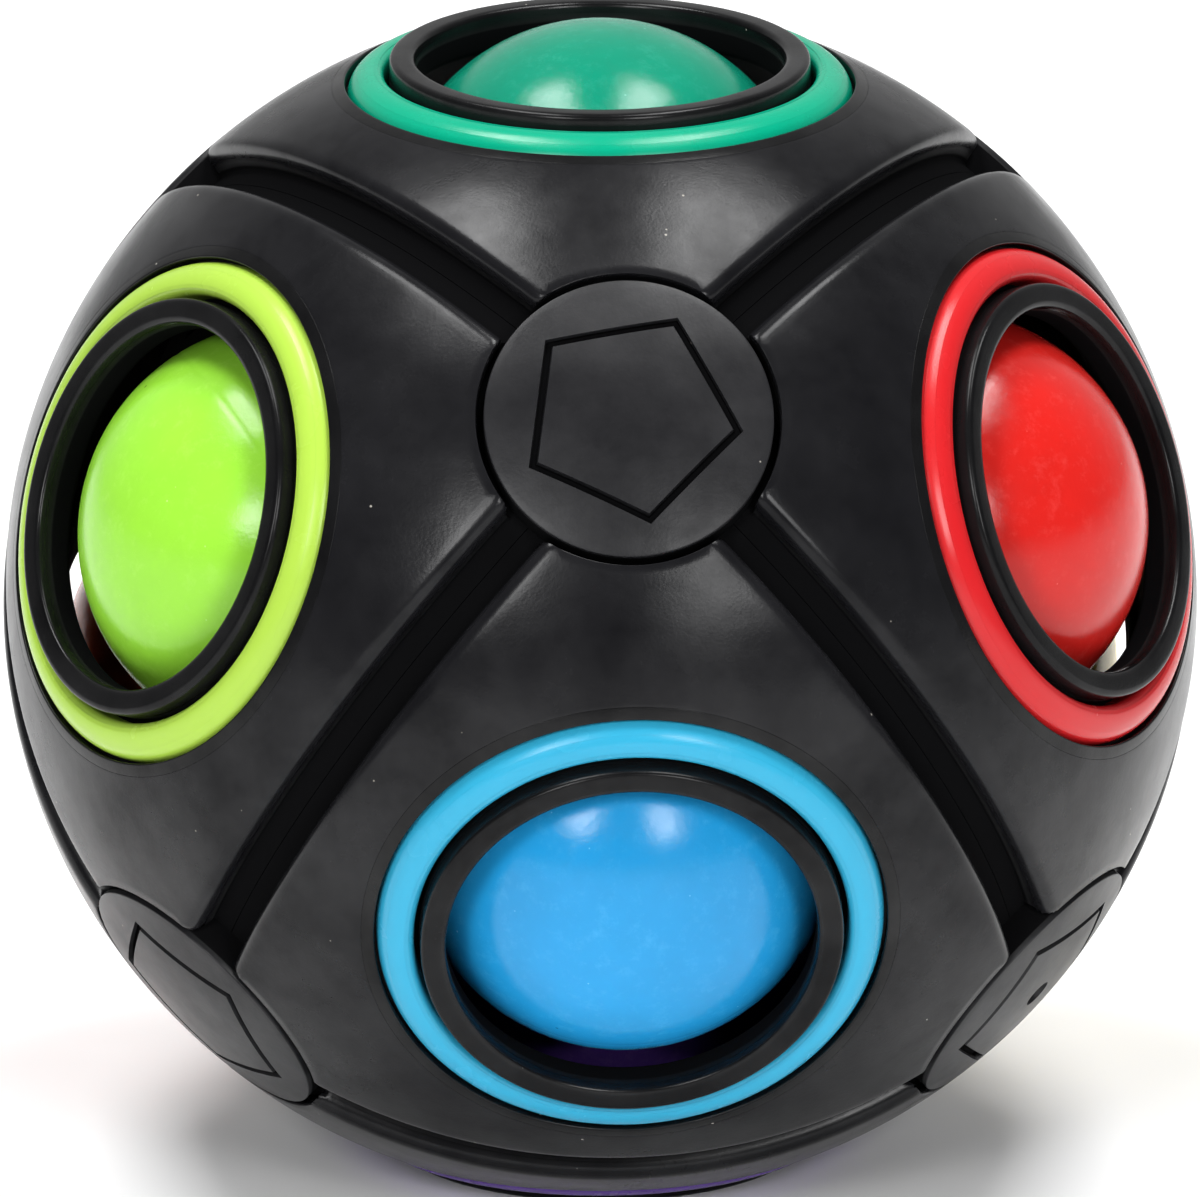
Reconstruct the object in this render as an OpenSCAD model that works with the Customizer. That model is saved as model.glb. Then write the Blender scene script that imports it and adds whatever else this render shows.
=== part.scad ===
// Rainbow-ball puzzle: a hollow sphere with eight round cells at the corners of a cube.
// Seven coloured balls sit in the cells and one cell is left empty, so a ball can be
// pushed through the hollow middle into it. +Z is the axis of the top cell.

/* [Shell] */
// Diameter of the black sphere
shell_d = 70; // [69:0.5:71]
// Wall of the shell plates
plate_t = 3.2; // [2.8:0.1:3.3]
// Depth of the grooves between the plates
groove_depth = 1.8; // [1:0.1:2]
// Width of a groove at the surface
groove_w = 3.1; // [2.6:0.1:4]
// Width of a groove at its floor
groove_floor_w = 2.2; // [1.6:0.1:2.4]
// Parting gap between two plates under the groove
seam_gap = 0.1; // [0.05:0.05:0.2]

/* [Cells] */
// Diameter of the hole in a collar
hole_d = 21.6; // [21:0.1:22]
// Wall of the collar's lip
lip_t = 1.5; // [1.2:0.1:1.6]
// Height of the lip's rim above the sphere's centre
rim_h = 33.25; // [33:0.05:33.5]
// Diameter of the collar where it meets the shell plate
collar_d = 31.3; // [31:0.1:31.6]
// Width of a coloured ring
ring_w = 2.15; // [1.8:0.05:2.3]
// Gap between the lip and the coloured ring
ring_gap = 0.3; // [0.2:0.05:0.4]

/* [Balls] */
// Diameter of a ball
ball_d = 25; // [24.6:0.1:25]

/* [Caps] */
// Diameter of a pentagon cap
cap_d = 16.8; // [15:0.1:17.4]
// Gap round a cap
cap_gap = 0.4; // [0.3:0.05:0.7]
// Radius of the pentagon's corners
pentagon_r = 6.6; // [5:0.1:7]
// Width of the pentagon's line
line_w = 0.35; // [0.3:0.05:0.6]

/* [Hidden] */
$fn = 96;
shell_r = shell_d / 2;
hole_r = hole_d / 2;
cavity_r = shell_r - plate_t;
groove_floor_r = shell_r - groove_depth;
big = 2 * shell_r;
fit_gap = 0.05;

// Angles of a cube seen from its centre.
corner_angle = acos(1 / 3);
face_angle = acos(1 / sqrt(3));

// Each cell: name, tilt from +Z, turn about +Z, spin about its own axis.
CELLS = [
    ["top", 0, 0, 90],
    ["left", corner_angle, 210, 180],
    ["right", corner_angle, 330, 180],
    ["rear", corner_angle, 90, 180],
    ["front", 180 - corner_angle, 270, 0],
    ["rear_left", 180 - corner_angle, 150, 0],
    ["rear_right", 180 - corner_angle, 30, 0],
    ["base", 180, 0, 30],
];
// Colour of each cell's ring, in the order of CELLS.
RING_COLOURS = ["mediumseagreen", "greenyellow", "crimson", "hotpink",
                "deepskyblue", "darkorange", "gold", "mediumpurple"];
// Each ball: name, its cell's index, how far its centre lies from the sphere's centre.
BALLS = [
    ["green", 0, 22.5],
    ["lime", 1, 22.8],
    ["red", 2, 23.1],
    ["blue", 4, 22.9],
    ["orange", 5, 22.9],
    ["yellow", 6, 22.9],
    ["purple", 7, 20.7],
];
// Each cap: name, tilt from +Z, turn about +Z, spin of its pentagon.
CAPS = [
    ["upper_front", face_angle, 270, 9],
    ["upper_right", face_angle, 30, 30],
    ["upper_left", face_angle, 150, 54],
    ["lower_left", 180 - face_angle, 210, 44],
    ["lower_right", 180 - face_angle, 330, 8],
    ["lower_rear", 180 - face_angle, 90, 20],
];

// Collar heights and radii, measured along and from a cell's axis.
seat_h = 30.9;
foot_h = 27.9;
ledge_h = 28.95;
channel_h = 30.7;
lip_round = 0.4;
lip_r = hole_r + lip_t;
collar_r = collar_d / 2;
ring_in_r = lip_r + ring_gap;
ring_out_r = ring_in_r + ring_w;
channel_r = ring_out_r + 0.15;
ring_base_h = 0.7;
flange_r = collar_r + 0.85;
foot_in_r = collar_r - 0.65;

// Corner joint, measured along and from a cap's axis.
corner_flat_h = 30.2;
recess_h = 31.9;
cap_r = cap_d / 2;
stem_r = 2.9;
barb_r = 3.3;
barb_h = 28.35;
barb_t = 0.8;
clip_r = 7.6;
clip_slot_w = 0.8;
clip_slot_r = 5.4;
etch_depth = 0.2;

// Puts a piece made round +Z at the sphere's centre onto its own axis of the standing toy.
module on_axis(tilt, turn, spin) {
    translate([0, 0, rim_h]) rotate([0, tilt, turn]) rotate([0, 0, spin]) children();
}

// The cube's corner that lies on a cell's axis: its three edges become X, Y and Z.
module cube_corner() {
    rotate([0, -face_angle, 0]) rotate([0, 0, -45]) children();
}

// Repeats a piece made round Z along the cube corner's three edges.
module on_each_edge() {
    cube_corner() {
        children();
        rotate([0, 90, 0]) children();
        rotate([-90, 0, 0]) children();
    }
}

// The hollow inside, flattened where the six clips clamp.
module cavity() {
    intersection() {
        sphere(r = cavity_r);
        cube(2 * corner_flat_h, center = true);
    }
}

// One ring-shaped cut with drafted walls, round Z. Half of it falls in each plate.
module groove() {
    rotate_extrude() polygon([
        [groove_floor_r, -groove_floor_w / 2],
        [shell_r, -groove_w / 2],
        [shell_r + 1, -groove_w / 2],
        [shell_r + 1, groove_w / 2],
        [shell_r, groove_w / 2],
        [groove_floor_r, groove_floor_w / 2],
    ]);
}

// One eighth of the sphere, with a bore for the collar and a share of three cap seats.
module shell_plate() {
    color("#1d1d1f") difference() {
        intersection() {
            cube_corner() translate([1, 1, 1] * seam_gap / 2) cube(big);
            sphere(r = shell_r);
        }
        cube_corner() cavity();
        on_each_edge() {
            groove();
            translate([0, 0, recess_h]) cylinder(r = cap_r + cap_gap, h = big);
            cylinder(r = barb_r + 0.2, h = big);
        }
        cylinder(r = collar_r + fit_gap, h = big);
        cylinder(r = flange_r + fit_gap, h = ledge_h + fit_gap);
    }
}

// The collar's section: lip, channel for the ring, and the flange that holds it in the plate.
module collar_section() {
    wall_top = rim_h - lip_round;
    intersection() {
        polygon([
            [hole_r, seat_h],
            [foot_in_r, foot_h],
            [flange_r, foot_h],
            [flange_r, ledge_h],
            [collar_r, ledge_h],
            [collar_r, rim_h],
            [channel_r, rim_h],
            [channel_r, channel_h],
            [hole_r, channel_h],
        ]);
        circle(r = shell_r);
    }
    translate([hole_r, channel_h]) square([lip_t, wall_top - channel_h]);
    translate([hole_r + lip_round, wall_top]) circle(r = lip_round);
    translate([lip_r - lip_round, wall_top]) circle(r = lip_round);
    translate([hole_r + lip_round, wall_top - 0.1]) square([lip_t - 2 * lip_round, lip_round + 0.1]);
}

module collar() {
    color("#26262a") rotate_extrude() collar_section();
}

// The coloured ring: a base that fills the channel and a crown that follows the sphere.
module coloured_ring(shade) {
    base_in = lip_r + fit_gap;
    base_out = channel_r - fit_gap;
    base_z = channel_h + fit_gap;
    color(shade) rotate_extrude() {
        translate([base_in, base_z]) square([base_out - base_in, ring_base_h]);
        intersection() {
            translate([ring_in_r, base_z]) square([ring_w, rim_h - base_z]);
            circle(r = shell_r);
        }
    }
}

module ball(shade) {
    color(shade) sphere(d = ball_d);
}

// The line of the pentagon, as a thin wall that cuts into the cap.
module pentagon_line() {
    difference() {
        linear_extrude(height = big) difference() {
            circle(r = pentagon_r, $fn = 5);
            circle(r = pentagon_r - line_w / cos(36), $fn = 5);
        }
        sphere(r = shell_r - etch_depth);
    }
}

// A domed cap with its pentagon, and the barbed stem that goes through the four plates.
module cap() {
    color("#1d1d1f") {
        difference() {
            intersection() {
                translate([0, 0, recess_h + fit_gap]) cylinder(r = cap_r, h = big);
                sphere(r = shell_r);
            }
            pentagon_line();
        }
        translate([0, 0, barb_h - barb_t]) cylinder(r = stem_r, h = recess_h + 1 - barb_h + barb_t);
        translate([0, 0, barb_h - barb_t]) cylinder(r1 = stem_r, r2 = barb_r, h = barb_t);
    }
}

// A slotted washer that snaps over the barb and clamps the plates from inside.
module clip() {
    color("#3a3a3e") difference() {
        translate([0, 0, barb_h + fit_gap])
            cylinder(r = clip_r, h = corner_flat_h - barb_h - 2 * fit_gap);
        cylinder(r = stem_r + fit_gap, h = big);
        for (turn = [0, 90])
            rotate([0, 0, turn]) translate([-clip_slot_r, -clip_slot_w / 2, 0])
                cube([2 * clip_slot_r, clip_slot_w, big]);
    }
}

for (i = [0 : len(CELLS) - 1]) {
    c = CELLS[i];
    on_axis(c[1], c[2], c[3]) shell_plate();
    on_axis(c[1], c[2], c[3]) collar();
    on_axis(c[1], c[2], c[3]) coloured_ring(RING_COLOURS[i]);
}
for (b = BALLS) {
    c = CELLS[b[1]];
    on_axis(c[1], c[2], c[3]) translate([0, 0, b[2]]) ball(RING_COLOURS[b[1]]);
}
for (c = CAPS) {
    on_axis(c[1], c[2], c[3]) cap();
    on_axis(c[1], c[2], c[3]) clip();
}
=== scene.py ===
"""Sliding ball puzzle: a black plastic sphere with eight ringed cells and seven coloured balls."""
import math

import bpy
import numpy as np
from mathutils import Euler, Matrix, Vector


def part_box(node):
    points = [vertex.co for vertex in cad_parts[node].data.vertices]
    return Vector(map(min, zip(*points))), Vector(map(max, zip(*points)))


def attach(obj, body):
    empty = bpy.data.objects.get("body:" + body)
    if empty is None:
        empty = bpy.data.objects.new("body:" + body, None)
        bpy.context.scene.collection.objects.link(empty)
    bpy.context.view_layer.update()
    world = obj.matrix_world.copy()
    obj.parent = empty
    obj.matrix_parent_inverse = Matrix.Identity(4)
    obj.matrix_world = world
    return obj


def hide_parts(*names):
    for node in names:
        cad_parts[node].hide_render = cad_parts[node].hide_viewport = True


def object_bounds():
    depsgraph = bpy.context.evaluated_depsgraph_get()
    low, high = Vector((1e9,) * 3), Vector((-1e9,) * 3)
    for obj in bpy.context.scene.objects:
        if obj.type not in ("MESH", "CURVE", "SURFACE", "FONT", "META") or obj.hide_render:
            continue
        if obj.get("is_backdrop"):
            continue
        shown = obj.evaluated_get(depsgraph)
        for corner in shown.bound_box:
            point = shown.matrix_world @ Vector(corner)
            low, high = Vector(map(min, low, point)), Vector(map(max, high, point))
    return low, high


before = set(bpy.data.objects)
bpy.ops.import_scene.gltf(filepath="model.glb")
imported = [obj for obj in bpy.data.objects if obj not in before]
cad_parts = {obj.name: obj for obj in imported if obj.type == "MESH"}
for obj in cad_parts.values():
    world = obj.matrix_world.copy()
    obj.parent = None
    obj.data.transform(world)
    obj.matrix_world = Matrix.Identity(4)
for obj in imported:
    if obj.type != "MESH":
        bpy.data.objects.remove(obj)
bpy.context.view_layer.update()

# ---------------------------------------------------------------- sizes, in metres
MM = 0.001
RIM_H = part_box("collar_top")[1][2] / 2
BALL_R = (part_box("ball_blue")[1][0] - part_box("ball_blue")[0][0]) / 2
FIT = 0.05 * MM
# the shell plates
SHELL_R = 35 * MM
CAVITY_R = SHELL_R - 3.2 * MM
GROOVE_DEPTH = 1.8 * MM
GROOVE_HALF = 3.1 * MM / 2
FLOOR_HALF = 2.3 * MM / 2
SEAM_HALF = 0.02 * MM
GROOVE_EASE = 0.8 * MM
RECESS_EASE = 0.12 * MM
# the collars and rings: radii round a cell's axis, heights along it from the sphere's centre
HOLE_R = 10.8 * MM
LIP_R = HOLE_R + 1.5 * MM
RING_IN_R = LIP_R + 0.3 * MM
RING_OUT_R = RING_IN_R + 2.15 * MM
CHANNEL_R = RING_OUT_R + 0.15 * MM
COLLAR_R = 15.65 * MM
FLANGE_R = COLLAR_R + 0.85 * MM
FOOT_IN_R = COLLAR_R - 0.65 * MM
SEAT_H = 30.9 * MM
FOOT_H = 27.9 * MM
LEDGE_H = 28.95 * MM
CHANNEL_H = 30.7 * MM
LIP_EASE = 0.4 * MM
COLLAR_EASE = 0.012 * MM
# the caps: radii round a cap's axis, heights along it from the sphere's centre
CAP_R = 8.4 * MM
CAP_EDGE = 0.07 * MM
RECESS_R = CAP_R + 0.4 * MM
RECESS_H = 31.9 * MM
PENTAGON_R = 6.6 * MM
LINE_W = 0.42 * MM
LINE_DEPTH = 0.5 * MM
LINE_EDGE = 0.05 * MM
DIMPLE_R = 0.9 * MM
DIMPLE_DEPTH = 0.4 * MM
STEM_R = 2.9 * MM
STEM_END_H = 27.55 * MM
BARB_R = 3.3 * MM
BARB_H = 28.35 * MM
CENTRE = Vector((0, 0, RIM_H))

CORNER = math.degrees(math.acos(1 / 3))
FACE = math.degrees(math.acos(1 / math.sqrt(3)))

# name: tilt from +Z, turn about +Z, spin about its own axis, colour of its ring
CELLS = {
    "top": (0, 0, 90, "green"),
    "left": (CORNER, 210, 180, "lime"),
    "right": (CORNER, 330, 180, "red"),
    "rear": (CORNER, 90, 180, "pink"),
    "front": (180 - CORNER, 270, 0, "blue"),
    "rear_left": (180 - CORNER, 150, 0, "orange"),
    "rear_right": (180 - CORNER, 30, 0, "yellow"),
    "base": (180, 0, 30, "purple"),
}
# name: tilt, turn, spin of its pentagon
CAPS = {
    "upper_front": (FACE, 270, 9),
    "upper_right": (FACE, 30, 30),
    "upper_left": (FACE, 150, 54),
    "lower_left": (180 - FACE, 210, 44),
    "lower_right": (180 - FACE, 330, 8),
    "lower_rear": (180 - FACE, 90, 20),
}
# Each ball's parting line lies at its own slant.
BALL_SLANT = {
    "green": (70, 20, 0),
    "lime": (15, 60, 30),
    "red": (80, 10, 75),
    "blue": (60, 0, -4),
    "orange": (40, 70, 5),
    "yellow": (-30, 20, 50),
    "purple": (65, -15, 25),
}


def placement(tilt, turn, spin):
    """The matrix that puts a piece made round +Z at the sphere's centre on its own axis."""
    turns = Matrix.Rotation(math.radians(turn), 4, "Z") @ Matrix.Rotation(math.radians(tilt), 4, "Y")
    return Matrix.Translation(CENTRE) @ turns @ Matrix.Rotation(math.radians(spin), 4, "Z")


# ---------------------------------------------------------------- mesh building
def grid_piece(name, rows, matrix, looped, sharp=40):
    """A closed mesh of rings of points. looped joins the last ring to the first; otherwise
    the first and last rings are single points repeated, and each becomes a pole."""
    rows = np.asarray(rows, float)
    levels, around = rows.shape[:2]
    step = (np.arange(around) + 1) % around
    faces = []
    if looped:
        verts = rows.reshape(-1, 3)
        for i in range(levels):
            a, b = i * around, (i + 1) % levels * around
            faces += [(a + j, a + step[j], b + step[j], b + j) for j in range(around)]
    else:
        verts = np.vstack([rows[0, :1], rows[1:-1].reshape(-1, 3), rows[-1, :1]])
        last = len(verts) - 1
        faces += [(0, 1 + step[j], 1 + j) for j in range(around)]
        for i in range(levels - 3):
            a, b = 1 + i * around, 1 + (i + 1) * around
            faces += [(a + j, a + step[j], b + step[j], b + j) for j in range(around)]
        a = 1 + (levels - 3) * around
        faces += [(a + j, a + step[j], last) for j in range(around)]
    mesh = bpy.data.meshes.new(name)
    mesh.from_pydata([tuple(v) for v in verts], [], [tuple(int(i) for i in f) for f in faces])
    mesh.transform(matrix)
    mesh.polygons.foreach_set("use_smooth", [True] * len(mesh.polygons))
    mesh.set_sharp_from_angle(angle=math.radians(sharp))
    mesh.update()
    if signed_volume(mesh) < 0:
        mesh.flip_normals()
    piece = bpy.data.objects.new(name, mesh)
    bpy.context.collection.objects.link(piece)
    return piece


def signed_volume(mesh):
    """Six times the mesh's volume, negative where its faces point inwards."""
    mesh.calc_loop_triangles()
    points = np.empty(len(mesh.vertices) * 3)
    mesh.vertices.foreach_get("co", points)
    tris = np.empty(len(mesh.loop_triangles) * 3, int)
    mesh.loop_triangles.foreach_get("vertices", tris)
    a, b, c = points.reshape(-1, 3)[tris.reshape(-1, 3)].transpose(1, 0, 2)
    return float(np.einsum("ij,ij->i", a, np.cross(b, c)).sum())


def rounded(corners, steps=5):
    """A closed outline with its corners eased. Each corner is (r, h, how far the easing reaches)."""
    out = []
    count = len(corners)
    for i, (r, h, ease) in enumerate(corners):
        here = np.array((r, h))
        if ease == 0:
            out.append(here)
            continue
        before = np.array(corners[i - 1][:2]) - here
        after = np.array(corners[(i + 1) % count][:2]) - here
        start = here + before / np.linalg.norm(before) * ease
        end = here + after / np.linalg.norm(after) * ease
        for t in np.linspace(0, 1, steps):
            out.append((1 - t) ** 2 * start + 2 * t * (1 - t) * here + t * t * end)
    return np.array(out)


def turned(section, around):
    """Rings of points: the section (r, h) turned about Z."""
    angle = np.linspace(0, 2 * math.pi, around, endpoint=False)
    ring = np.stack([np.cos(angle), np.sin(angle)], axis=1)
    rows = np.empty((len(section), around, 3))
    rows[:, :, :2] = section[:, None, :1] * ring[None]
    rows[:, :, 2] = section[:, 1:]
    return rows


def sphere_h(r, radius=SHELL_R):
    return math.sqrt(radius * radius - r * r)


# ---------------------------------------------------------------- shell plates
CAP_TURNS = [math.radians(turn) for turn in (60, 180, 300)]


def plate_edge(turn, radius, half, recess):
    """Polar angle at which a plate ends, along the direction turn, on a sphere of that radius:
    at half a groove's width from the cube planes, or at a cap's recess."""
    tilt = math.radians(FACE)
    ends = []
    for cap_turn in CAP_TURNS:
        across = math.sin(tilt) * np.cos(turn - cap_turn)
        along = math.cos(tilt)
        reach = np.hypot(across, along)
        lean = np.arctan2(across, along)
        ends.append(lean + np.arccos(half / radius / reach))
        facing = math.cos(math.asin(recess / radius))
        hits = (reach > facing) & (across > 0)
        near = lean - np.arccos(np.clip(facing / reach, -1, 1))
        ends.append(np.where(hits, near, math.pi))
    return np.min(ends, axis=0)


def plate_turns():
    """Directions round a plate, closer together where its outline has corners."""
    fine = np.concatenate([np.arange(-16, 16.01, 0.5) + math.degrees(c) for c in CAP_TURNS])
    coarse = np.arange(0, 360, 2.0)
    apart = np.abs((coarse[:, None] - np.degrees(CAP_TURNS)[None] + 180) % 360 - 180).min(axis=1) > 16.5
    turns = np.unique(np.round(np.concatenate([fine, coarse[apart]]) % 360, 3))
    return np.radians(turns)


def on_sphere(turn, polar, radius):
    polar = np.broadcast_to(polar, turn.shape)
    return radius * np.stack(
        [np.sin(polar) * np.cos(turn), np.sin(polar) * np.sin(turn), np.cos(polar)], axis=1)


def circle_row(turn, r, h):
    return np.stack([r * np.cos(turn), r * np.sin(turn), np.full_like(turn, h)], axis=1)


def plate_rows():
    turn = plate_turns()
    bore = COLLAR_R + 0.01 * MM
    counterbore = FLANGE_R + FIT
    rows = []
    # the bore for the collar, with an eased mouth
    wall = [(counterbore, sphere_h(counterbore, CAVITY_R), 0), (counterbore, LEDGE_H + FIT, 0),
            (bore, LEDGE_H + FIT, 0), (bore, sphere_h(bore), COLLAR_EASE),
            (bore + MM, sphere_h(bore + MM), 0)]
    mouth = rounded([(counterbore + MM, FOOT_H - MM, 0)] + wall)[1:-1]
    rows += [circle_row(turn, r, h) for r, h in mouth]
    # the outer face, out to the eased edges of the grooves and the cap recesses
    start = math.asin((bore + 0.2 * MM) / SHELL_R)
    end = plate_edge(turn, SHELL_R, GROOVE_HALF + GROOVE_EASE, RECESS_R + RECESS_EASE)
    rows += [on_sphere(turn, start + (end - start) * t, SHELL_R) for t in np.linspace(0, 1, 14)]
    slope = (GROOVE_HALF - FLOOR_HALF) / GROOVE_DEPTH
    for t in np.linspace(0, 1, 7)[1:]:
        depth = GROOVE_EASE * t * t
        half = GROOVE_HALF + GROOVE_EASE * (1 - t) ** 2 - slope * depth
        radius = SHELL_R - depth
        recess = RECESS_R + RECESS_EASE * (1 - t) ** 2
        rows.append(on_sphere(turn, plate_edge(turn, radius, half, recess), radius))
    # the groove wall and floor, and the narrow side at the parting line
    floor_r = SHELL_R - GROOVE_DEPTH
    hidden_r = CAP_R - 0.8 * MM
    for radius, half, recess in (
        (floor_r + 0.15 * MM, FLOOR_HALF + 0.08 * MM, RECESS_R),
        (floor_r, FLOOR_HALF - 0.1 * MM, RECESS_R - 0.1 * MM),
        (floor_r, SEAM_HALF, hidden_r),
        (CAVITY_R, SEAM_HALF, hidden_r),
    ):
        rows.append(on_sphere(turn, plate_edge(turn, radius, half, recess), radius))
    # the inner face, back to the bore
    inner_end = plate_edge(turn, CAVITY_R, SEAM_HALF, hidden_r)
    inner_start = math.asin(counterbore / CAVITY_R)
    rows += [on_sphere(turn, inner_end + (inner_start - inner_end) * t, CAVITY_R)
             for t in np.linspace(0, 1, 7)[1:-1]]
    return rows


# ---------------------------------------------------------------- collars, rings, balls, caps
def collar_section():
    return rounded([
        (HOLE_R, SEAT_H, 0.25 * MM),
        (FOOT_IN_R, FOOT_H, 0),
        (FLANGE_R, FOOT_H, 0),
        (FLANGE_R, LEDGE_H, 0),
        (COLLAR_R, LEDGE_H, 0),
        (COLLAR_R, sphere_h(COLLAR_R), COLLAR_EASE),
        (CHANNEL_R, sphere_h(CHANNEL_R), 0.22 * MM),
        (CHANNEL_R, CHANNEL_H, 0),
        (LIP_R, CHANNEL_H, 0),
        (LIP_R, RIM_H, LIP_EASE),
        (HOLE_R, RIM_H, LIP_EASE),
    ], steps=7)


def ring_section():
    """The ring's crown: it stands a little proud of the sphere and falls away at both edges."""
    floor = CHANNEL_H + FIT
    middle = (RING_IN_R + RING_OUT_R) / 2
    proud, fall = 0.27 * MM, 0.2 * MM
    return rounded([
        (RING_IN_R, floor, 0),
        (RING_OUT_R, floor, 0),
        (RING_OUT_R, sphere_h(RING_OUT_R) - fall, 0.75 * MM),
        (middle, sphere_h(middle) + proud, 0.7 * MM),
        (RING_IN_R, sphere_h(RING_IN_R) - fall, 0.6 * MM),
    ], steps=7)


def ball_section():
    """Half a circle from pole to pole, with a fine welded seam round the middle."""
    seam_w, seam_depth = 0.16 * MM, 0.018 * MM
    seam = seam_w / BALL_R
    polar = np.concatenate([
        np.linspace(0, math.pi / 2 - 2.5 * seam, 40),
        math.pi / 2 + seam * np.array([-1.5, -0.75, 0, 0.75, 1.5]),
        np.linspace(math.pi / 2 + 2.5 * seam, math.pi, 40),
    ])
    dip = seam_depth * np.exp(-(((polar - math.pi / 2) / seam) ** 2))
    radius = BALL_R - dip
    return np.stack([radius * np.sin(polar), radius * np.cos(polar)], axis=1)


def cap_rows(dimpled):
    """A domed disc with an etched pentagon, its stem and its barb. Rings near the line follow
    the pentagon, and ease into circles towards the middle and the rim."""
    around = 180
    turn = np.linspace(0, 2 * math.pi, around, endpoint=False)
    fifth = math.radians(72)
    pentagon = math.cos(fifth / 2) / np.cos((turn % fifth) - fifth / 2)
    line_in = PENTAGON_R - LINE_W / math.cos(fifth / 2)
    sunk = DIMPLE_DEPTH if dimpled else 0.0
    rows = [np.zeros((around, 3)) + (0, 0, SHELL_R - sunk)]

    def dome(shape, depth=0.0):
        flat = np.stack([shape * np.cos(turn), shape * np.sin(turn)], axis=1)
        up = np.sqrt((SHELL_R - depth) ** 2 - shape**2)
        rows.append(np.column_stack([flat, up]))

    circle = np.ones(around)
    for share, depth in ((0.61, sunk), (0.83, 0.8 * sunk), (1, 0.0)):
        dome(share * DIMPLE_R * circle, depth)
    for t in np.linspace(0.22, 0.97, 8):
        dome(line_in * (t * (pentagon * t + 1 - t)))
    dome((line_in - LINE_EDGE) * pentagon)
    dome(line_in * pentagon, 0.3 * LINE_DEPTH)
    dome((line_in + 1.5 * LINE_EDGE) * pentagon, LINE_DEPTH)
    dome((PENTAGON_R - 1.5 * LINE_EDGE) * pentagon, LINE_DEPTH)
    dome(PENTAGON_R * pentagon, 0.3 * LINE_DEPTH)
    dome((PENTAGON_R + LINE_EDGE) * pentagon)
    for t in np.linspace(0.15, 1, 6):
        dome(PENTAGON_R * pentagon * (1 - t) + (CAP_R - CAP_EDGE) * t)
    rim = rounded([
        (CAP_R - 2 * CAP_EDGE, sphere_h(CAP_R - 2 * CAP_EDGE), 0),
        (CAP_R, sphere_h(CAP_R), CAP_EDGE),
        (CAP_R, RECESS_H + FIT, 0),
        (STEM_R, RECESS_H + FIT, 0),
        (STEM_R, BARB_H + FIT, 0),
        (BARB_R, BARB_H, 0),
        (STEM_R, STEM_END_H, 0),
        (0, STEM_END_H, 0),
    ])[2:]
    rows += list(turned(rim, around))
    return rows


# ---------------------------------------------------------------- materials
def srgb(red, green, blue):
    """Linear colour from the eight-bit one that a screen shows."""
    def linear(value):
        value /= 255
        return value / 12.92 if value <= 0.04045 else ((value + 0.055) / 1.055) ** 2.4
    return (linear(red), linear(green), linear(blue), 1)


class Nodes:
    """A material's node tree, with short calls for the nodes it is made of."""

    def __init__(self, name):
        self.material = bpy.data.materials.new(name)
        self.material.use_nodes = True
        self.tree = self.material.node_tree
        self.shader = self.tree.nodes["Principled BSDF"]
        self.place = self.add("ShaderNodeTexCoord").outputs["Object"]

    def add(self, kind, **settings):
        node = self.tree.nodes.new(kind)
        for key, value in settings.items():
            setattr(node, key, value)
        return node

    def link(self, source, target):
        self.tree.links.new(source, target)

    def noise(self, scale, detail=3.0, roughness=0.5):
        node = self.add("ShaderNodeTexNoise")
        node.inputs["Scale"].default_value = scale
        node.inputs["Detail"].default_value = detail
        node.inputs["Roughness"].default_value = roughness
        self.link(self.place, node.inputs["Vector"])
        return node.outputs["Fac"]

    def spread(self, source, low, high, to_low, to_high):
        node = self.add("ShaderNodeMapRange")
        node.inputs["From Min"].default_value = low
        node.inputs["From Max"].default_value = high
        node.inputs["To Min"].default_value = to_low
        node.inputs["To Max"].default_value = to_high
        self.link(source, node.inputs["Value"])
        return node.outputs["Result"]

    def mix(self, factor, first, second):
        node = self.add("ShaderNodeMix", data_type="RGBA")
        self.link(factor, node.inputs[0])
        for socket, value in ((node.inputs[6], first), (node.inputs[7], second)):
            if isinstance(value, tuple):
                socket.default_value = value
            else:
                self.link(value, socket)
        return node.outputs[2]

    def translucent(self, weight, depth):
        """Coloured plastic's shine, and the light that spreads depth millimetres under it."""
        inputs = self.shader.inputs
        inputs["Specular IOR Level"].default_value = 0.28
        inputs["Subsurface Weight"].default_value = weight
        inputs["Subsurface Radius"].default_value = (depth, depth, depth)
        inputs["Subsurface Scale"].default_value = MM

    def from_centre(self):
        """Distance from the sphere's centre."""
        offset = self.add("ShaderNodeVectorMath", operation="SUBTRACT")
        offset.inputs[1].default_value = CENTRE
        self.link(self.place, offset.inputs[0])
        length = self.add("ShaderNodeVectorMath", operation="LENGTH")
        self.link(offset.outputs[0], length.inputs[0])
        return length.outputs["Value"]

    def specks(self, scale, size, share):
        """Sparse small dots: 1 inside a dot."""
        node = self.add("ShaderNodeTexVoronoi")
        node.inputs["Scale"].default_value = scale
        self.link(self.place, node.inputs["Vector"])
        near = self.spread(node.outputs["Distance"], size, size * 0.6, 0, 1)
        parts = self.add("ShaderNodeSeparateColor")
        self.link(node.outputs["Color"], parts.inputs["Color"])
        chosen = self.add("ShaderNodeMath", operation="LESS_THAN")
        chosen.inputs[1].default_value = share
        self.link(parts.outputs["Red"], chosen.inputs[0])
        both = self.add("ShaderNodeMath", operation="MULTIPLY")
        self.link(near, both.inputs[0])
        self.link(chosen.outputs[0], both.inputs[1])
        return both.outputs[0]

    def bump(self, height, distance, strength=1.0, under=None):
        node = self.add("ShaderNodeBump")
        node.inputs["Distance"].default_value = distance
        node.inputs["Strength"].default_value = strength
        self.link(height, node.inputs["Height"])
        if under:
            self.link(under, node.inputs["Normal"])
        return node.outputs["Normal"]


# Painted shade: the near-black colour given to every surface deep in the grooves, bores and etched lines
PAINTED_SHADE_BLACK = srgb(11, 11, 12)
DUST_GREY = srgb(150, 146, 138)


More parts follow.
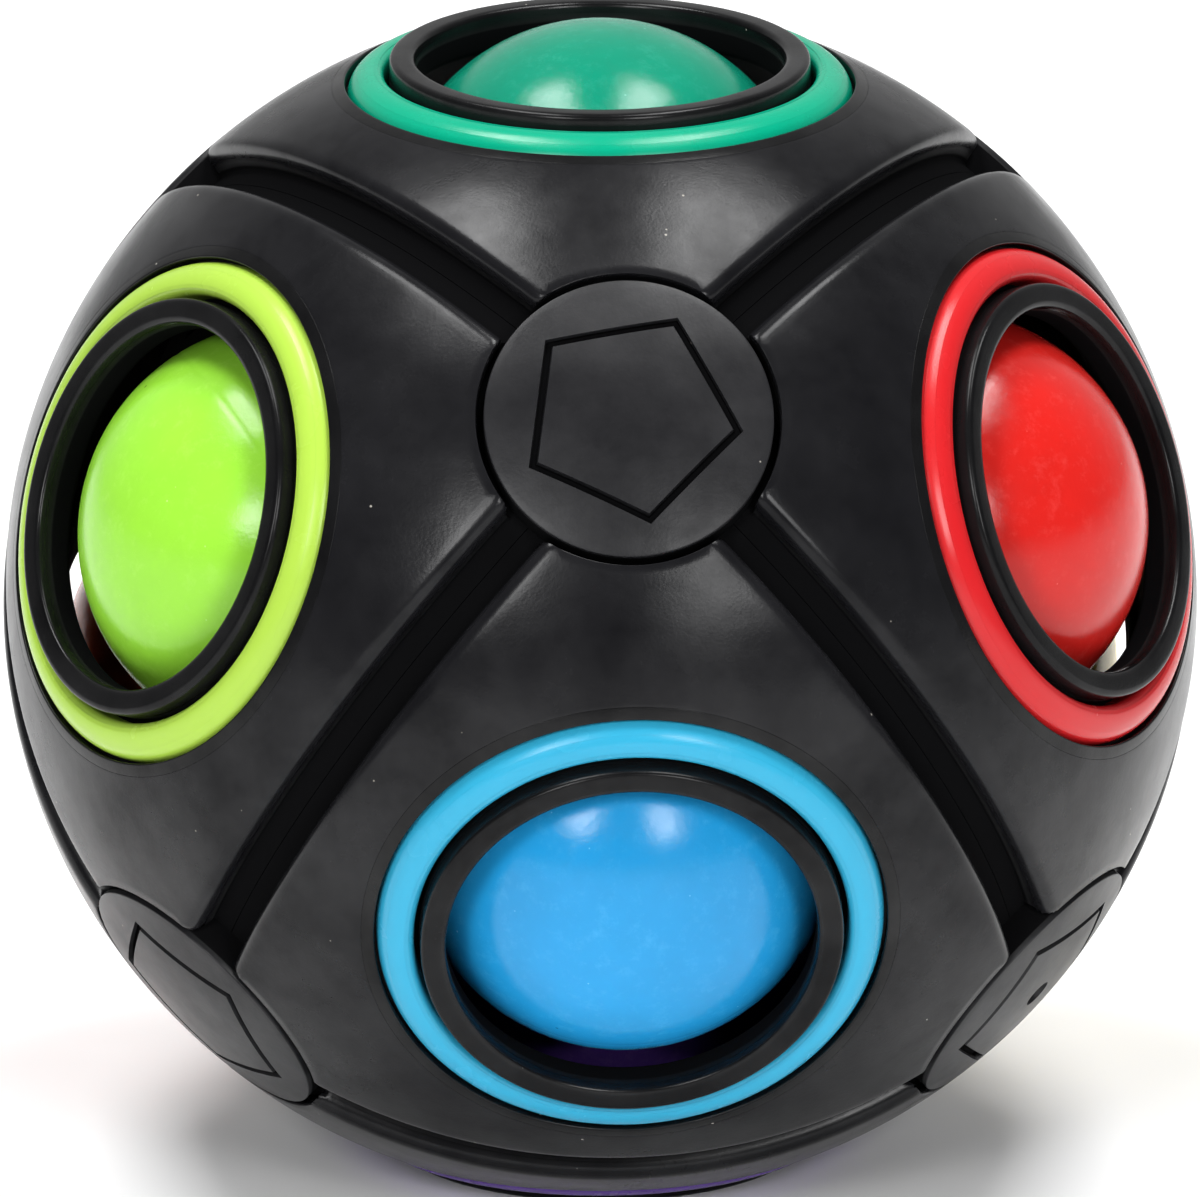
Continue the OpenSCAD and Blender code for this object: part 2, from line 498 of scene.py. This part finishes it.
def black_plastic(name, shade, rough, shine, rim_shine, shade_depth):
    """Satin moulded plastic: a fine skin, cloudy handling marks and a little dust. Deeper than
    shade_depth below the sphere it is painted near black with almost no shine: painted shade
    in the grooves, bores, etched lines and the hollow inside. rim_shine is for what stands above it."""
    n = Nodes(name)
    cloud = n.spread(n.noise(150, 7, 0.66), 0.32, 0.68, 0, 1)
    colour = n.mix(cloud, srgb(*shade), srgb(*[v + 9 for v in shade]))
    dust = n.specks(800, 0.07, 0.12)
    dusty = n.mix(dust, colour, DUST_GREY)
    # Painted shade: below shade_depth the colour turns near black, the shine drops almost to nothing and
    # the roughness rises
    height = n.from_centre()
    outer = n.spread(height, SHELL_R - shade_depth, SHELL_R - 0.4 * shade_depth, 0, 1)
    n.link(n.mix(outer, PAINTED_SHADE_BLACK, dusty), n.shader.inputs["Base Color"])
    level = n.add("ShaderNodeMath", operation="MULTIPLY")
    n.link(n.spread(height, SHELL_R + 0.02 * MM, SHELL_R + 0.12 * MM, shine, rim_shine), level.inputs[0])
    n.link(n.spread(cloud, 0, 1, 0.65, 1.4), level.inputs[1])
    lowest = n.add("ShaderNodeMath", operation="MINIMUM")
    n.link(n.spread(outer, 0, 1, 0.015, 1), lowest.inputs[0])
    n.link(level.outputs[0], lowest.inputs[1])
    n.link(lowest.outputs[0], n.shader.inputs["Specular IOR Level"])
    smear = n.spread(n.noise(140, 6, 0.65), 0.3, 0.75, rough - 0.05, rough + 0.08)
    coarsest = n.add("ShaderNodeMath", operation="MAXIMUM")
    n.link(smear, coarsest.inputs[0])
    n.link(n.spread(outer, 0, 1, 0.9, 0), coarsest.inputs[1])
    n.link(coarsest.outputs[0], n.shader.inputs["Roughness"])
    skin = n.bump(n.noise(5200, 2), 0.01 * MM, 0.5)
    n.link(n.bump(n.noise(330, 3), 0.03 * MM, 0.4, skin), n.shader.inputs["Normal"])
    return n.material


def ring_plastic(name, shade):
    """Glossy coloured plastic, barely uneven."""
    n = Nodes(name)
    darker = tuple(v * 0.98 for v in shade)
    colour = n.mix(n.spread(n.noise(120, 3), 0.3, 0.7, 0, 1), srgb(*shade), srgb(*darker))
    n.link(colour, n.shader.inputs["Base Color"])
    n.link(n.spread(n.noise(260, 4), 0.3, 0.7, 0.2, 0.3), n.shader.inputs["Roughness"])
    n.link(n.bump(n.noise(600, 2), 0.02 * MM, 0.35), n.shader.inputs["Normal"])
    n.translucent(0.08, 0.6)
    return n.material


def ball_plastic(name, shade):
    """Coloured ball plastic: faint scuffs and rubbed patches from rolling in the collars."""
    n = Nodes(name)
    paler = tuple(v + (255 - v) * 0.16 for v in shade)
    dust = tuple(v + (255 - v) * 0.35 for v in shade)
    deeper = tuple(v * 0.94 for v in shade)
    mottled = n.mix(n.spread(n.noise(150, 5, 0.6), 0.3, 0.7, 0, 1), srgb(*shade), srgb(*deeper))
    rubbed = n.spread(n.noise(900, 8, 0.78), 0.52, 0.72, 0, 0.45)
    scuffed = n.mix(rubbed, mottled, srgb(*paler))
    dusty = n.mix(n.specks(1900, 0.14, 0.02), scuffed, srgb(*dust))
    grime = n.specks(700, 0.09, 0.04)
    n.link(n.mix(grime, dusty, srgb(*[v * 0.6 for v in shade])), n.shader.inputs["Base Color"])
    n.link(n.spread(n.noise(300, 6, 0.7), 0.35, 0.7, 0.15, 0.26), n.shader.inputs["Roughness"])
    skin = n.bump(n.noise(2000, 5, 0.7), 0.03 * MM, 0.5)
    n.link(n.bump(n.noise(260, 4), 0.05 * MM, 0.35, skin), n.shader.inputs["Normal"])
    n.translucent(0.1, 0.8)
    return n.material


# The last number is the depth below the sphere where the painted shade begins
SHELL_BLACK = black_plastic("shell_black", (16, 16, 18), 0.24, 0.16, 0.16, 1.5 * MM)
COLLAR_BLACK = black_plastic("collar_black", (11, 11, 12), 0.22, 0.16, 0.12, 1.1 * MM)
CAP_BLACK = black_plastic("cap_black", (22, 22, 24), 0.34, 0.2, 0.2, 0.35 * MM)
CLIP_BLACK = black_plastic("clip_black", (16, 16, 17), 0.5, 0.1, 0.1, 1.1 * MM)
RING_SHADES = {
    "green": (0, 150, 116),
    "lime": (160, 196, 70),
    "red": (190, 30, 34),
    "blue": (46, 156, 192),
    "pink": (206, 76, 130),
    "orange": (210, 96, 22),
    "yellow": (216, 182, 32),
    "purple": (96, 62, 154),
}
BALL_SHADES = {
    "green": (6, 130, 102),
    "lime": (145, 212, 58),
    "red": (197, 32, 27),
    "blue": (30, 142, 202),
    "orange": (212, 80, 30),
    "yellow": (218, 188, 40),
    "purple": (92, 60, 150),
}
RING_PAINT = {name: ring_plastic("ring_" + name, shade) for name, shade in RING_SHADES.items()}
BALL_PAINT = {name: ball_plastic("ball_" + name, shade) for name, shade in BALL_SHADES.items()}


# ---------------------------------------------------------------- the pieces
def finish_piece(piece, node, body, material):
    piece.data.materials.append(material)
    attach(piece, body)
    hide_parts(node)


plate = plate_rows()
collar = turned(collar_section(), 144)
ring = turned(ring_section(), 144)
for cell, (tilt, turn, spin, colour) in CELLS.items():
    where = placement(tilt, turn, spin)
    finish_piece(grid_piece("plate_" + cell, plate, where, True),
                 "shell_" + cell, "shell", SHELL_BLACK)
    finish_piece(grid_piece("collar_ring_" + cell, collar, where, True),
                 "collar_" + cell, "shell", COLLAR_BLACK)
    finish_piece(grid_piece("colour_ring_" + cell, ring, where, True),
                 "ring_" + cell, "shell", RING_PAINT[colour])

for cap, (tilt, turn, spin) in CAPS.items():
    piece = grid_piece("pentagon_cap_" + cap, cap_rows(cap == "lower_right"),
                       placement(tilt, turn, spin), False)
    finish_piece(piece, "cap_" + cap, "shell", CAP_BLACK)
    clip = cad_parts["clip_" + cap]
    clip.data.materials.clear()
    clip.data.materials.append(CLIP_BLACK)

for ball, slant in BALL_SLANT.items():
    low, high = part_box("ball_" + ball)
    middle = (Vector(low) + Vector(high)) / 2
    turns = Euler([math.radians(v) for v in slant]).to_matrix().to_4x4()
    piece = grid_piece("puzzle_ball_" + ball, turned(ball_section(), 128),
                       Matrix.Translation(middle) @ turns, False)
    finish_piece(piece, "ball_" + ball, "ball_" + ball, BALL_PAINT[ball])

# ---------------------------------------------------------------- camera
VIEW_AZIMUTH, VIEW_ELEVATION = math.radians(-3.45), math.radians(17.45)
FRAME_FILL = 597 / 600
DISTANCE = 60 * SHELL_R
# the camera's own directions: from the sphere to the camera, to its right, and up
BACK = Vector((math.sin(VIEW_AZIMUTH) * math.cos(VIEW_ELEVATION),
               -math.cos(VIEW_AZIMUTH) * math.cos(VIEW_ELEVATION),
               math.sin(VIEW_ELEVATION)))
RIGHT = Vector((0, 0, 1)).cross(BACK).normalized()
UP = BACK.cross(RIGHT)


def place_camera():
    """A long lens from far away, framed so that the sphere just fills the picture."""
    camera = bpy.data.objects.new("camera", bpy.data.cameras.new("camera"))
    bpy.context.collection.objects.link(camera)
    optics = camera.data
    optics.sensor_width = 36
    half_view = math.tan(math.asin(SHELL_R / DISTANCE)) / FRAME_FILL
    optics.lens = optics.sensor_width / 2 / half_view
    optics.clip_start, optics.clip_end = 0.1, 20
    camera.location = CENTRE + BACK * DISTANCE
    camera.rotation_euler = BACK.to_track_quat("Z", "Y").to_euler()
    bpy.context.scene.camera = camera


# ---------------------------------------------------------------- floor and lights
def floor():
    """A plain white floor, wide enough to fill every view."""
    mesh = bpy.data.meshes.new("floor")
    size = 4.0
    mesh.from_pydata([(-size, -size, 0), (size, -size, 0), (size, size, 0), (-size, size, 0)],
                     [], [(0, 1, 2, 3)])
    plane = bpy.data.objects.new("floor", mesh)
    bpy.context.collection.objects.link(plane)
    n = Nodes("floor_white")
    n.shader.inputs["Base Color"].default_value = (0.93, 0.93, 0.93, 1)
    n.shader.inputs["Roughness"].default_value = 0.7
    mesh.materials.append(n.material)
    plane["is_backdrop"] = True


def softbox(name, towards, distance, width, length, power):
    """An area light facing the sphere. towards is its place in the camera's directions: right,
    up and back. Its long side runs towards the camera."""
    light = bpy.data.objects.new(name, bpy.data.lights.new(name, "AREA"))
    bpy.context.collection.objects.link(light)
    light.data.shape = "RECTANGLE"
    light.data.size, light.data.size_y = width, length
    light.data.energy = power
    right, up, back = towards
    facing = (RIGHT * right + UP * up + BACK * back).normalized()
    across = BACK.cross(facing).normalized()
    along = facing.cross(across)
    light.matrix_world = (Matrix.Translation(CENTRE + facing * distance)
                          @ Matrix((across, along, facing)).transposed().to_4x4())


def studio_world():
    """White surroundings, dim in front of the sphere and brighter behind it."""
    world = bpy.data.worlds.new("studio")
    world.use_nodes = True
    tree = world.node_tree
    background = tree.nodes["Background"]
    background.inputs["Color"].default_value = (1, 1, 1, 1)
    direction = tree.nodes.new("ShaderNodeTexCoord")
    parts = tree.nodes.new("ShaderNodeSeparateXYZ")
    rearward = tree.nodes.new("ShaderNodeMapRange")
    for socket, value in (("From Min", 0.1), ("From Max", 1), ("To Min", 0.06), ("To Max", 0.6)):
        rearward.inputs[socket].default_value = value
    tree.links.new(direction.outputs["Generated"], parts.inputs["Vector"])
    tree.links.new(parts.outputs["Y"], rearward.inputs["Value"])
    tree.links.new(rearward.outputs["Result"], background.inputs["Strength"])
    bpy.context.scene.world = world


place_camera()
floor()
OVERHEAD = {"distance": 1.0, "width": 0.28, "length": 0.54, "power": 7.8}
FRONT = {"distance": 1.2, "width": 0.36, "length": 0.28, "power": 6.2}
softbox("overhead_left", (-0.33, 0.90, 0.26), **OVERHEAD)
softbox("overhead_right", (0.30, 0.92, 0.25), **OVERHEAD)
softbox("front_left", (-0.36, 0.16, 0.92), **FRONT)
softbox("front_right", (0.37, 0.12, 0.92), **FRONT)
studio_world()
bpy.context.scene.view_settings.view_transform = "Standard"

low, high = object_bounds()
